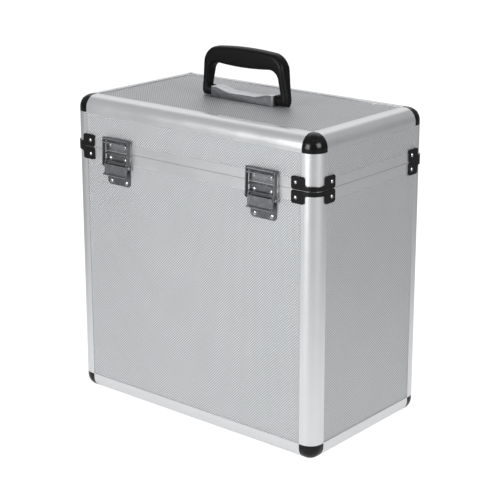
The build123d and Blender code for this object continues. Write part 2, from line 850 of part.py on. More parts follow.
def board_parts():
    """Faced boards, linings and the lid's pad."""
    parts = {}
    rim_seat = rim_web + slot_end_clearance
    base = upright_boards(panel_edge, split_height - rim_seat, flange_thickness, panel_inner, panel_edge)
    lid = upright_boards(lid_base + rim_seat, case_height - panel_edge, flange_thickness, panel_inner, panel_edge)
    for name, board in base.items():
        parts["base_" + name + "_panel"] = [board]
    for name, board in lid.items():
        parts["lid_" + name + "_panel"] = [board]
    parts["base_floor_panel"] = [level_board(flange_thickness, panel_inner, panel_edge)]
    top_board = level_board(case_height - panel_inner, panel_top, panel_edge)
    for place in bracket_rivet_places():
        top_board -= rivet_hole(place, (0, 0, 1), bracket_sheet + panel_thickness)
    parts["lid_top_panel"] = [top_board]
    wall_top = split_height - base_rim_height + rim_inner_setback - slot_end_clearance
    walls = upright_boards(lining_edge, wall_top, panel_inner, lining_face, lining_edge)
    parts["base_wall_linings"] = list(walls.values())
    parts["base_floor_lining"] = [level_board(panel_inner, lining_face, lining_edge)]
    pad = level_board(case_height - panel_inner - lid_pad_thickness, case_height - panel_inner, lining_edge)
    plate_room = slot_end_clearance
    pad -= block(
        (
            -backing_plate_length / 2 - plate_room,
            -backing_plate_depth / 2 - plate_room,
            case_height - panel_inner - backing_plate_sheet - plate_room,
        ),
        (backing_plate_length / 2 + plate_room, backing_plate_depth / 2 + plate_room, case_height - panel_inner),
    )
    parts["lid_pad"] = [pad]
    return parts


def brace_parts():
    """Corner braces above and below the split, with their rivets."""
    brace = [corner_brace()]
    rivets = brace_rivets()
    return {
        "base_corner_braces": at_split_corners(brace, split_height, False),
        "base_brace_rivets": at_split_corners(rivets, split_height, False),
        "lid_corner_braces": at_split_corners(brace, lid_base, True),
        "lid_brace_rivets": at_split_corners(rivets, lid_base, True),
    }


def latch_parts():
    """Both draw latches: the lid's strikes, the base's plates and pins, the levers and the loops."""
    parts = {}
    strikes = pair(latch_strike())
    plates = pair(latch_base_plate())
    levers = pair(latch_lever())
    pins = pair(loop_pin())
    loops = pair(draw_loop())
    for index, (name, side) in enumerate(left_and_right):
        parts[name + "_latch_strike"] = [strikes[index]]
        parts[name + "_latch_base_plate"] = [plates[index]]
        parts[name + "_latch_lever"] = [levers[index]]
        parts[name + "_loop_pin"] = [pins[index]]
        parts[name + "_draw_loop"] = [loops[index]]
    parts["latch_lever_pins"] = pair(lever_pin())
    lid_rivets = []
    base_rivets = []
    for name, side in left_and_right:
        along = side * latch_spacing / 2
        for place in row_places(strike_rivet_height, latch_sheet, latch_rivet_spacing, along):
            lid_rivets.append(rivet(place, (0, -1, 0), latch_sheet))
        for height, out in ((-latch_upper_rivet, latch_sheet), (-latch_lower_rivet, 0)):
            for place in row_places(height, out, latch_rivet_spacing, along):
                base_rivets.append(rivet(place, (0, -1, 0), latch_sheet))
    parts["strike_rivets"] = lid_rivets
    parts["latch_base_rivets"] = base_rivets
    return parts


def hinge_parts():
    """Both rear hinges: leaves, pins and rivets."""
    base_rivets = [rivet(place, (0, 1, 0), hinge_sheet) for place in hinge_rivet_places(-1)]
    lid_rivets = [rivet(place, (0, 1, 0), hinge_sheet) for place in hinge_rivet_places(1)]
    return {
        "base_hinge_leaves": hinge_pair([hinge_leaf(-1)]),
        "lid_hinge_leaves": hinge_pair([hinge_leaf(1)]),
        "hinge_pins": hinge_pair([hinge_pin()]),
        "base_hinge_rivets": hinge_pair(base_rivets),
        "lid_hinge_rivets": hinge_pair(lid_rivets),
    }


def handle_parts():
    """Folding handle with its bracket, pins, rivets and backing plate."""
    return {
        "handle_grip": [handle_grip()],
        "handle_bracket": [handle_bracket()],
        "handle_pins": handle_pins(),
        "handle_bracket_rivets": [rivet(place, (0, 0, 1), bracket_grip()) for place in bracket_rivet_places()],
        "handle_backing_plate": [backing_plate()],
    }


def divider_parts():
    """Fixed divider between the two disc compartments."""
    return {
        "disc_divider": [divider()],
        "divider_channels": [channel(-1), channel(1)],
    }


os.makedirs("parts", exist_ok=True)
groups = [frame_parts(), board_parts(), brace_parts(), latch_parts(), hinge_parts(), handle_parts(), divider_parts()]
for group in groups:
    for node, solids in group.items():
        export_step(Compound(children=solids) if len(solids) > 1 else solids[0], "parts/" + node + ".step")
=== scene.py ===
import math

import bmesh
import bpy
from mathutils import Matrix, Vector
from mathutils.geometry import interpolate_bezier


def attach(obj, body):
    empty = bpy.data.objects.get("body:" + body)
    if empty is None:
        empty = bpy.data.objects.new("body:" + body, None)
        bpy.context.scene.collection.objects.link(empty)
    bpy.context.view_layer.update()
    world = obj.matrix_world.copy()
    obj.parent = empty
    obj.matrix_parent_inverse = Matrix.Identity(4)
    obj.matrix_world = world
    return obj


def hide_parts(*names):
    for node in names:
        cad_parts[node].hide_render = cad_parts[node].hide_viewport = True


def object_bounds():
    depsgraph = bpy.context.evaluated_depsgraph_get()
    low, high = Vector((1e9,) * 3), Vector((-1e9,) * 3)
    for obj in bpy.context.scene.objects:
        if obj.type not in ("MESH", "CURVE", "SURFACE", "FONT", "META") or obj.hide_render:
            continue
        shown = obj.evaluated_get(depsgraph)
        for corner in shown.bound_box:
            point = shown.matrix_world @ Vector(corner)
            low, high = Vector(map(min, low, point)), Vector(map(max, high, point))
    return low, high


bl_info = {
    "name": "Disc Case Looks",
    "version": (1, 0, 0),
    "blender": (4, 5, 0),
    "location": "3D Viewport > Sidebar > Disc Case",
    "description": "Materials, foam linings, studio and camera for an aluminium disc case",
    "category": "Object",
}

# The frame, and the CAD's box before anything is added

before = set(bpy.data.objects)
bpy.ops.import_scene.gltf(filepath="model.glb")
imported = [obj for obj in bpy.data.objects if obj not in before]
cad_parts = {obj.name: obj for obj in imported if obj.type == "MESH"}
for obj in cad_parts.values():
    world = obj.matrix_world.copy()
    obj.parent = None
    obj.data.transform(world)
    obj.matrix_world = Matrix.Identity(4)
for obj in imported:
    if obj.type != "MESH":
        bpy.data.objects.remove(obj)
cad_low, cad_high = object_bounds()
MM = 0.001

# How brightly the floor glows by itself: to the case, far off and beside it, and to the camera
FLOOR_FAR = 0.14
FLOOR_NEAR = 0.62
FLOOR_NEAR_RADIUS = 0.35
FLOOR_FAR_RADIUS = 0.95
FLOOR_WHITE = 0.93

# The floor itself, in metres, and how much light it gives back
FLOOR_RADIUS = 6.0
FLOOR_DROP = 0.1 * MM
FLOOR_SHADES = (0.23, 0.27)

# The room that the case reflects: its brightness, and the share of straight up at which each is reached
ROOM_HORIZON, ROOM_OVERHEAD = 0.20, 0.42
HORIZON_TOP, OVERHEAD_FOOT = 0.15, 0.60

# Softboxes: azimuth from the front and elevation in degrees, distance and size in metres, power in watts
SOFTBOXES = {
    "front_softbox": (-8, 13, 2.4, 1.2, 43),
    "side_softbox": (82, 22, 2.4, 1.2, 38),
    "rear_softbox": (-140, 38, 2.0, 2.2, 9),
}

# Camera, in millimetres and metres
SENSOR_WIDTH = 36.0
CLIP_END = 50.0

# Zinc plate: brightness against the steel colour, roughness and how metallic it is
PLATING = {
    "zinc_plated_sheet": (1.0, 0.34, 1.0),
    # Painted highlight: a 3.6 times brighter copy of the plate for the saddle's upward faces
    "painted_highlight_saddle_top": (3.6, 0.35, 0.3),
    "satin_plated_saddle": (0.85, 0.38, 0.9),
    # Painted highlight: the levers, strikes and the base plate's bead get a 1.7 times brighter copy of the
    # plate
    "painted_highlight_sheet": (1.7, 0.26, 1.0),
    # Painted highlight: rivets and pins get a 2.8 times brighter copy of the plate
    "painted_highlight_rivet": (2.8, 0.20, 1.0),
    "worn_plated_sheet": (1.0, 0.46, 1.0),
}

# Black mouldings and coatings: roughness, size of the grain in millimetres and strength of the gloss
MOULDING = {
    "gloss_black_corner": (0.20, 0.6, 0.3),
    "black_coated_steel": (0.36, 0.5, 0.25),
    "satin_black_grip": (0.42, 0.9, 0.14),
    "matt_black_board": (0.55, 1.4, 0.5),
}

# Depths of the marks in each finish, in metres, and how the fine lines of drawing and rolling are stretched
DRAWN_DEPTH = 0.02 * MM
GRAIN_DEPTH = 0.04 * MM
ROLLED_DEPTH = 0.015 * MM
PIT_DEPTH = 0.15 * MM
DRAWN_STRETCH = 120
ROLLED_LINES = (90, 2500, 2500)

# Unevenness in each finish: its scale per metre and its detail
BOARD_PATCHES, BOARD_GRAIN = (14.0, 3.0), (900.0, 2.0)
HANDLING_MARKS, SCUFFS = (35.0, 4.0), (60.0, 5.0)
PLATING_CLOUDS, FOAM_DUST, PAPER_FIBRES = (160.0, 4.0), (25.0, 4.0), (300.0, 2.0)

# How far a face's normal must lie along an axis for the face to count as facing that way
FACING = 0.7

# How finely pieces are made: points round circles, along the grip, down the saddle's dip and round edges
RING_STEPS = 28
HEAD_STEPS = 24
NOSE_STEPS = 12
LEG_STEPS = 8
BEND_STEPS = 14
DIP_STEPS = 8
EDGE_STEPS = 3

# Angles in degrees: edges past the first are rounded, faces within the second are merged, and edges past the
# third are shaded sharp
ROUNDED_ANGLE = 40
MERGED_ANGLE = 2
SMOOTH_ANGLE = 35
WELD_DISTANCE = 0.01 * MM

# Places on the case, in millimetres, set by the CAD
HALF_DEPTH = 105.0
CASE_TOP = 380.0
TOP_PANEL = 378.8
SPLIT = 318.0
LATCH_PLACES = {"left": -112.0, "right": 112.0}

# Carrying handle, in millimetres
GRIP_HALF_WIDTH = 65.85
GRIP_LEG = 10.8
GRIP_LEG_DEPTH = 13.5
GRIP_DEPTH = 17.0
GRIP_TOP = 62.9
GRIP_CROWN = 4.0
GRIP_OPENING = 42.8
GRIP_BULGE = 3.6
GRIP_LEAN = 7.5
GRIP_BEND = 10.0
GRIP_CORNER = 15.0
GRIP_EDGE = 5.0
PIVOT_RISE = 6.2
BOSS_RADIUS = 6.6
BOSS_FACE = 48.55
BOSS_ROUNDING = ((0.0, 0.8), (0.3, 0.25), (1.0, 0.0))
BOSS_SUNK = 3.0
FOOT_CLEARANCE = 0.1
FOOT_FLAT = 0.3
CORNER_PULL = 0.55
PIN_RADIUS = 2.45
PIN_TIP = 62.0

# Saddle between the handle's feet, in millimetres
SADDLE_HALF_LENGTH = 48.05
SADDLE_HALF_DEPTH = 9.5
SADDLE_SHEET = 1.5
SADDLE_EDGE = 0.9
SADDLE_END_RISE = 12.5
SADDLE_MIDDLE_RISE = 8.0
SADDLE_DISH_INSET = 3.0
SADDLE_DISH_SLOPE = 26.0

# Draw latches, in millimetres out from the front face and up from the split
LATCH_SHEET = 1.2
LOOP_PIVOT = (4.8, -16.2)
LOOP_BAR = (3.8, 15.2)
LOOP_HALF_WIDTH = 21.0
LOOP_FOOT_RADIUS = 2.4
SLEEVE_RADIUS = 2.2
SLEEVE_BORE = 1.5
SLEEVE_HALF_LENGTH = 19.1
ROD_CLEARANCE = 0.2
STRIKE_HALF_WIDTH = 19.2
STRIKE_FOOT = 0.8
STRIKE_LIP = 11.5
STRIKE_REACH = 7.4
STRIKE_UPTURN = 12.3
BEAD_HALF_WIDTH = 19.0
BEAD_TOP = -0.9
BEAD_FOOT = -3.6
BEAD_REACH = 2.2
BEAD_ROOT = 0.4
BEAD_CHAMFER = 0.1
RIVET_RADIUS = 2.8
RIVET_RISE = 1.2
RIVET_SPACING = 24.6
RIVET_SHANK = 1.3
RIVET_DOME = ((1.0, 0.0), (1.0, 0.3), (0.86, 0.7), (0.6, 0.93), (0.3, 1.0))
STRIKE_RIVETS = [(LATCH_SHEET, 7.9)]
BASE_PLATE_RIVETS = [(LATCH_SHEET, -8.6), (0.0, -36.7)]

# Nodes that share a material

WALLS = ("front", "back", "left", "right")
BOARDS = [f"{part}_{wall}_panel" for part in ("base", "lid") for wall in WALLS]
BOARDS += ["base_floor_panel", "lid_top_panel"]
UPRIGHT_FRAME = ["base_corner_profiles", "lid_corner_profiles"]
LEVEL_FRAME = ["base_bottom_profiles", "base_rim_profiles", "lid_top_profiles", "lid_rim_profiles"]
CORNER_CAPS = ["base_corner_caps", "lid_corner_caps"]
BRACES = ["base_corner_braces", "lid_corner_braces"]
RIVETS = [
    "base_brace_rivets",
    "lid_brace_rivets",
    "base_hinge_rivets",
    "lid_hinge_rivets",
    "handle_bracket_rivets",
]
BASE_PLATES = ["left_latch_base_plate", "right_latch_base_plate"]
LEVERS = ["left_latch_lever", "right_latch_lever"]
PINS = ["left_loop_pin", "right_loop_pin", "hinge_pins"]
HINGE_LEAVES = ["base_hinge_leaves", "lid_hinge_leaves"]
FOAM = {"base_wall_linings": "base", "base_floor_lining": "base", "lid_pad": "lid"}

# Sizes and colours that a user would change


def colour_setting(name, description, value):
    """A colour property, its default given as the sRGB hex that a picker shows."""
    return bpy.props.FloatVectorProperty(
        name=name, description=description, default=linear(value), size=3, min=0, max=1, subtype="COLOR"
    )


def length_setting(name, description, millimetres):
    """A length property in metres, its default written in millimetres."""
    metres = millimetres * MM
    return bpy.props.FloatProperty(
        name=name, description=description, default=metres, min=0, unit="LENGTH", subtype="DISTANCE"
    )


def angle_setting(name, description, degrees):
    """An angle property, its default written in degrees."""
    return bpy.props.FloatProperty(
        name=name, description=description, default=math.radians(degrees), subtype="ANGLE"
    )


def linear(hex_colour):
    """Linear red, green and blue of an sRGB hex colour."""
    values = [int(hex_colour[i : i + 2], 16) / 255 for i in (1, 3, 5)]
    return [v / 12.92 if v <= 0.04045 else ((v + 0.055) / 1.055) ** 2.4 for v in values]


class DiscCaseColours(bpy.types.PropertyGroup):
    board: colour_setting("Board", "Raised parts of the embossed aluminium skin", "#D9DADC")
    # Painted shade: the darker colour given to the hollows between the raised diamonds
    board_hollow_shade: colour_setting("Board hollows", "Hollows between the raised diamonds", "#9D9FA2")
    extrusion: colour_setting("Extrusion", "Satin anodised edge profiles", "#E0E1E3")
    plastic: colour_setting("Corner plastic", "Moulded ball corners", "#080809")
    coating: colour_setting("Brace coating", "Black coating on the corner braces", "#0A0A0B")
    steel: colour_setting("Steel", "Zinc plated latches, hinges and rivets", "#7E7F82")
    grip: colour_setting("Grip", "Moulded carrying handle", "#0C0C0D")
    foam: colour_setting("Foam", "Closed-cell lining", "#1D1D1F")
    backdrop: colour_setting("Backdrop", "Studio floor and background", "#FFFFFF")


class DiscCaseSizes(bpy.types.PropertyGroup):
    emboss_pitch: length_setting("Emboss pitch", "Distance between rows of raised diamonds", 2.3)
    emboss_height: length_setting("Emboss height", "Height of the raised diamonds", 0.25)
    drawn_line: length_setting("Drawn line", "Width of the fine lines left by extrusion", 0.35)
    steel_edge: length_setting("Steel edge", "Rounding that catches the light on sheet steel edges", 0.25)
    plastic_edge: length_setting("Plastic edge", "Rounding on moulded edges", 0.5)
    foam_edge: length_setting("Foam edge", "Rounding of the lining's cut edges", 0.9)
    foam_cell: length_setting("Foam cell", "Size of the foam's cells", 0.8)
    camera_focal: length_setting("Focal length", "Lens on a 36 mm wide sensor", 105.3)
    camera_heading: angle_setting("Heading", "Camera turned to the left of straight ahead", 39.72)
    camera_tilt: angle_setting("Tilt", "Camera looking down", 15.46)
    camera_place: bpy.props.FloatVectorProperty(
        name="Camera place",
        description="Where the camera stands, from the middle of the case's bottom",
        default=(1.0984, -1.3152, 0.7300),
        size=3,
        subtype="TRANSLATION",
        unit="LENGTH",
    )
    camera_rise: bpy.props.FloatProperty(
        name="Lens shift",
        description="Upward shift as a share of the picture's width. Below zero, the case sits higher",
        default=-0.1,
    )


# Node helpers


def add(tree, kind, links=None, **settings):
    """Adds a shader node, sets its plain sockets or attributes, and links the sockets given."""
    node = tree.nodes.new(kind)
    for key, value in settings.items():
        if key in node.bl_rna.properties:
            setattr(node, key, value)
        else:
            node.inputs[key].default_value = value
    for key, source in (links or {}).items():
        tree.links.new(source, node.inputs[key])
    return node


def maths(tree, operation, *values):
    """A Math node on sockets or numbers."""
    node = tree.nodes.new("ShaderNodeMath")
    node.operation = operation
    for index, value in enumerate(values):
        if isinstance(value, bpy.types.NodeSocket):
            tree.links.new(value, node.inputs[index])
        else:
            node.inputs[index].default_value = value
    return node.outputs[0]


def mixed(tree, factor, first, second):
    """Colour between two linear colours or sockets, on the Mix node's colour sockets 6 and 7."""
    node = tree.nodes.new("ShaderNodeMix")
    node.data_type = "RGBA"
    tree.links.new(factor, node.inputs["Factor"])
    for index, value in ((6, first), (7, second)):
        if isinstance(value, bpy.types.NodeSocket):
            tree.links.new(value, node.inputs[index])
        else:
            node.inputs[index].default_value = (*value, 1)
    return node.outputs[2]


def scaled(tree, scale):
    """Object coordinates in metres, times a scale along each axis."""
    place = add(tree, "ShaderNodeTexCoord")
    mapping = add(tree, "ShaderNodeMapping", {"Vector": place.outputs["Object"]})
    mapping.inputs["Scale"].default_value = scale
    return mapping.outputs["Vector"]


def noise(tree, scale, detail, stretch=(1, 1, 1)):
    """Cloudy noise from 0 to 1: its scale, its detail and the stretch of its coordinates."""
    node = add(tree, "ShaderNodeTexNoise", {"Vector": scaled(tree, stretch)}, Scale=scale, Detail=detail)
    return node.outputs["Fac"]


def by_ray(tree, seen, unseen):
    """One value for rays from the camera and another for all others."""
    camera_ray = add(tree, "ShaderNodeLightPath").outputs["Is Camera Ray"]
    others = maths(tree, "MULTIPLY", maths(tree, "SUBTRACT", 1.0, camera_ray), unseen)
    return maths(tree, "ADD", maths(tree, "MULTIPLY", camera_ray, seen), others)


def new_material(name):
    """An empty material with a Principled shader on its output."""
    material = bpy.data.materials.new(name)
    material.use_nodes = True
    tree = material.node_tree
    tree.nodes.clear()
    shader = tree.nodes.new("ShaderNodeBsdfPrincipled")
    output = tree.nodes.new("ShaderNodeOutputMaterial")
    tree.links.new(shader.outputs["BSDF"], output.inputs["Surface"])
    return material, tree, shader


def bump(tree, shader, height, distance, edge=0.0, strength=1.0):
    """Bump of a real height in metres, over rounded edges if edge is given."""
    links = {"Height": height}
    if edge > 0:
        links["Normal"] = add(tree, "ShaderNodeBevel", samples=4, Radius=edge).outputs["Normal"]
    node = add(tree, "ShaderNodeBump", links, Strength=strength, Distance=distance)
    tree.links.new(node.outputs["Normal"], shader.inputs["Normal"])


def ramp(tree, source, low, high, from_low=0.0, from_high=1.0):
    """A value mapped from one range to another."""
    node = add(tree, "ShaderNodeMapRange", {"Value": source})
    limits = {"From Min": from_low, "From Max": from_high, "To Min": low, "To Max": high}
    for key, value in limits.items():
        node.inputs[key].default_value = value
    return node.outputs["Result"]


def give(names, material):
    """Puts a material on CAD nodes."""
    for name in names:
        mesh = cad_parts[name].data
        mesh.materials.clear()
        mesh.materials.append(material)


# Materials


def diamond_rows(tree, place, across, along, pitch):
    """Raised diamonds on one pair of faces: two crossing sets of rows, each at 45 degrees."""
    rows = []
    for operation in ("ADD", "SUBTRACT"):
        slope = maths(tree, operation, place.outputs[across], place.outputs[along])
        turn = maths(tree, "MULTIPLY", slope, 2 * math.pi / (pitch * math.sqrt(2)))
        wave = maths(tree, "COSINE", turn)
        rows.append(ramp(tree, wave, 0.0, 1.0, from_low=-1.0))
    return maths(tree, "MULTIPLY", rows[0], rows[1])


def embossed_aluminium(looks, sizes):
    """Thin aluminium skin rolled with small raised diamonds: bright tops, painted shade in the hollows,
    uneven.
    """
    material, tree, shader = new_material("embossed_aluminium_skin")
    texture = add(tree, "ShaderNodeTexCoord")
    place = add(tree, "ShaderNodeSeparateXYZ", {"Vector": texture.outputs["Object"]})
    facing = add(tree, "ShaderNodeSeparateXYZ", {"Vector": texture.outputs["Normal"]})
    height = None
    for towards, across, along in (("X", "Y", "Z"), ("Y", "X", "Z"), ("Z", "X", "Y")):
        share = maths(tree, "GREATER_THAN", maths(tree, "ABSOLUTE", facing.outputs[towards]), FACING)
        rows = diamond_rows(tree, place, across, along, sizes.emboss_pitch)
        masked = maths(tree, "MULTIPLY", share, rows)
        height = masked if height is None else maths(tree, "ADD", height, masked)
    patches = noise(tree, *BOARD_PATCHES)
    grain = noise(tree, *BOARD_GRAIN)
    raised = ramp(tree, height, 0.0, 1.0, from_low=0.05, from_high=0.55)
    # Painted shade: the hollows take the darker colour and the raised tops the board colour
    colour = mixed(tree, raised, looks.board_hollow_shade, looks.board)
    shade = ramp(tree, patches, 0.0, 0.10, from_low=0.35, from_high=0.65)
    colour = mixed(tree, shade, colour, looks.board_hollow_shade)
    tree.links.new(colour, shader.inputs["Base Color"])
    shader.inputs["Metallic"].default_value = 0.55
    rough = ramp(tree, grain, 0.42, 0.56, from_low=0.3, from_high=0.7)
    tree.links.new(rough, shader.inputs["Roughness"])
    bump(tree, shader, height, sizes.emboss_height)
    return material


def drawn_aluminium(name, looks, sizes, along):
    """Satin anodised extrusion: bright, with fine lines along its length and faint handling marks."""
    material, tree, shader = new_material(name)
    fine = 1 / sizes.drawn_line
    slow = fine / DRAWN_STRETCH
    stretch = (fine, fine, slow) if along == "Z" else (slow, slow, fine)
    lines = noise(tree, 1.0, 3.0, stretch)
    marks = noise(tree, *HANDLING_MARKS)
    tone = ramp(tree, lines, 0.92, 1.0, from_low=0.3, from_high=0.7)
    colour = mixed(tree, tone, [c * 0.86 for c in looks.extrusion], looks.extrusion)
    tree.links.new(colour, shader.inputs["Base Color"])
    shader.inputs["Metallic"].default_value = 0.85
    drawn = maths(tree, "MULTIPLY", lines, 0.10)
    handled = maths(tree, "MULTIPLY", marks, 0.12)
    worn = maths(tree, "ADD", drawn, handled)
    rough = ramp(tree, worn, 0.27, 0.40, from_low=0.05, from_high=0.18)
    tree.links.new(rough, shader.inputs["Roughness"])
    bump(tree, shader, lines, DRAWN_DEPTH, strength=0.5)
    return material


def moulded_plastic(name, colour, edge):
    """Black moulded plastic or coating: a very fine grain, softened edges and faint scuffs."""
    roughness, grain_size, gloss = MOULDING[name]
    material, tree, shader = new_material(name)
    grain = noise(tree, 1 / (grain_size * MM), 2.0)
    scuffs = noise(tree, *SCUFFS)
    scuffed = ramp(tree, scuffs, 0.0, 0.35, from_low=0.55, from_high=0.75)
    paler = [min(1, c * 1.8 + 0.001) for c in colour]
    tree.links.new(mixed(tree, scuffed, colour, paler), shader.inputs["Base Color"])
    rough = maths(tree, "ADD", maths(tree, "MULTIPLY", grain, 0.08), roughness - 0.04)
    tree.links.new(rough, shader.inputs["Roughness"])
    shader.inputs["Specular IOR Level"].default_value = gloss
    bump(tree, shader, grain, GRAIN_DEPTH, edge=edge, strength=0.4)
    return material


def plated_steel(name, steel, edge):
    """Zinc plated steel: cloudy in its colour and gloss, with fine rolling lines and rounded edges."""
    brightness, roughness, metallic = PLATING[name]
    colour = [min(1, c * brightness) for c in steel]
    material, tree, shader = new_material(name)
    lines = noise(tree, 1.0, 2.0, ROLLED_LINES)
    cloud = noise(tree, *PLATING_CLOUDS)
    tone = ramp(tree, cloud, 0.0, 1.0, from_low=0.35, from_high=0.65)
    tree.links.new(mixed(tree, tone, [c * 0.80 for c in colour], colour), shader.inputs["Base Color"])
    shader.inputs["Metallic"].default_value = metallic
    rough = maths(tree, "ADD", maths(tree, "MULTIPLY", cloud, 0.14), roughness - 0.07)
    tree.links.new(rough, shader.inputs["Roughness"])
    bump(tree, shader, lines, ROLLED_DEPTH, edge=edge, strength=0.5)
    return material


def closed_cell_foam(looks, sizes):
    """Charcoal closed-cell foam: matt, finely pitted with painted shade in the pits, with a faint dusty
    bloom.
    """
    material, tree, shader = new_material("closed_cell_foam")
    place = {"Vector": scaled(tree, (1, 1, 1))}
    cells = add(tree, "ShaderNodeTexVoronoi", place, Scale=1 / sizes.foam_cell, Randomness=1.0)
    dust = noise(tree, *FOAM_DUST)
    pits = ramp(tree, cells.outputs["Distance"], 0.0, 1.0, from_high=0.6)
    # Painted shade: the cell pits are darkened to 0.6 of the foam colour
    colour = mixed(tree, pits, [c * 0.6 for c in looks.foam], looks.foam)
    bloom = ramp(tree, dust, 0.0, 0.12, from_low=0.4, from_high=0.7)
    dusty = [c * 3 + 0.01 for c in looks.foam]
    tree.links.new(mixed(tree, bloom, colour, dusty), shader.inputs["Base Color"])
    tree.links.new(ramp(tree, cells.outputs["Distance"], 0.95, 0.85), shader.inputs["Roughness"])
    shader.inputs["Specular IOR Level"].default_value = 0.25
    shader.inputs["Sheen Weight"].default_value = 0.15
    bump(tree, shader, pits, PIT_DEPTH, strength=0.6)
    return material


# Pieces built here


def round_edges(mesh, width):
    """Rounds a mesh's sharp edges."""
    angle = math.radians(ROUNDED_ANGLE)
    sharp = [edge for edge in mesh.edges if len(edge.link_faces) == 2 and edge.calc_face_angle(0) > angle]
    round_profile = {"segments": EDGE_STEPS, "profile": 0.5, "clamp_overlap": True}
    bmesh.ops.bevel(mesh, geom=sharp, offset=width, affect="EDGES", **round_profile)


def foam_piece(node, body, material, sizes):
    """Foam boards with rounded cut edges in the space of a CAD node."""
    mesh = bmesh.new()
    mesh.from_mesh(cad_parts[node].data)
    bmesh.ops.remove_doubles(mesh, verts=mesh.verts, dist=WELD_DISTANCE)
    merged = math.radians(MERGED_ANGLE)
    bmesh.ops.dissolve_limit(mesh, angle_limit=merged, verts=mesh.verts, edges=mesh.edges)
    round_edges(mesh, sizes.foam_edge)
    for face in mesh.faces:
        face.smooth = True
    made = bpy.data.meshes.new(node + "_foam")
    mesh.to_mesh(made)
    mesh.free()
    made.materials.append(material)
    piece = bpy.data.objects.new(node + "_foam", made)
    bpy.context.scene.collection.objects.link(piece)
    piece.modifiers.new("flat faces", "WEIGHTED_NORMAL").keep_sharp = False
    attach(piece, body)
    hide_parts(node)


def rounded_rectangle(half_u, half_v, radius, corner_steps=5):
    """Points round a rounded rectangle as (u, v). The radius stays just short of either half width."""
    radius = max(0.05, min(radius, half_u * 0.98, half_v * 0.98))
    signs = ((1, 1), (-1, 1), (-1, -1), (1, -1))
    points = []
    for quarter, (along, across) in enumerate(signs):
        for step in range(corner_steps + 1):
            angle = math.pi / 2 * (quarter + step / corner_steps)
            u = along * (half_u - radius) + radius * math.cos(angle)
            points.append((u, across * (half_v - radius) + radius * math.sin(angle)))
    return points


def round_ring(x, y, z, radius):
    """A circle of points round a line along X."""
    turns = [2 * math.pi * step / RING_STEPS for step in range(RING_STEPS)]
    return [Vector((x, y + radius * math.cos(a), z + radius * math.sin(a))) for a in turns]


def loft(mesh, rings, tube=False):
    """Skin over matching rings of points: a solid with end faces, or a tube that meets its first ring."""
    loops = [[mesh.verts.new(point) for point in ring] for ring in rings]
    following = loops[1:] + loops[:1] if tube else loops[1:]
    for first, second in zip(loops, following):
        for index in range(len(first)):
            after = (index + 1) % len(first)
            mesh.faces.new((first[index], first[after], second[after], second[index]))
    if not tube:
        mesh.faces.new(reversed(loops[0]))
        mesh.faces.new(loops[-1])


def prism(mesh, outline, start, end):
    """A plate with an outline of (y, z) points, between two places along X."""
    loft(mesh, [[Vector((x, y, z)) for y, z in outline] for x in (start, end)])


def place_piece(mesh, name, body, nodes, material, sharp=SMOOTH_ANGLE):
    """Turns a mesh in millimetres into a piece that rides a body and stands for CAD nodes.

    Edges that turn by more than the sharp angle, in degrees, stay sharp. The rest are shaded smooth.
    """
    bmesh.ops.recalc_face_normals(mesh, faces=mesh.faces)
    bmesh.ops.scale(mesh, vec=(MM, MM, MM), verts=mesh.verts)
    made = bpy.data.meshes.new(name)
    mesh.to_mesh(made)
    mesh.free()
    made.shade_smooth()
    made.set_sharp_from_angle(angle=math.radians(sharp))
    made.materials.append(material)
    piece = bpy.data.objects.new(name, made)
    bpy.context.scene.collection.objects.link(piece)
    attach(piece, body)
    if nodes:
        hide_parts(*nodes)
    return piece


def grip_outline(foot, bend, shoulder, crown, corner):
    """One edge of the grip in (x, z), right foot to middle: leg, round corner, crowned top."""
    foot, bend, shoulder = Vector(foot), Vector(bend), Vector(shoulder)
    rise = crown - shoulder.y
    end_x = shoulder.x - corner
    end = Vector((end_x, crown - rise * (end_x / shoulder.x) ** 2))
    up = (shoulder - bend).normalized()
    start = shoulder - up * corner
    out = Vector((1.0, -2 * rise * end_x / shoulder.x**2)).normalized()
    points = [foot.lerp(bend, step / LEG_STEPS) for step in range(LEG_STEPS)]
    points += [bend.lerp(start, step / LEG_STEPS) for step in range(LEG_STEPS)]
    pull = corner * CORNER_PULL
    points += interpolate_bezier(start, start + up * pull, end + out * pull, end, BEND_STEPS)
    for step in range(1, BEND_STEPS + 1):
        x = end.x * (1 - step / BEND_STEPS)
        points.append(Vector((x, crown - rise * (x / shoulder.x) ** 2)))
    return points


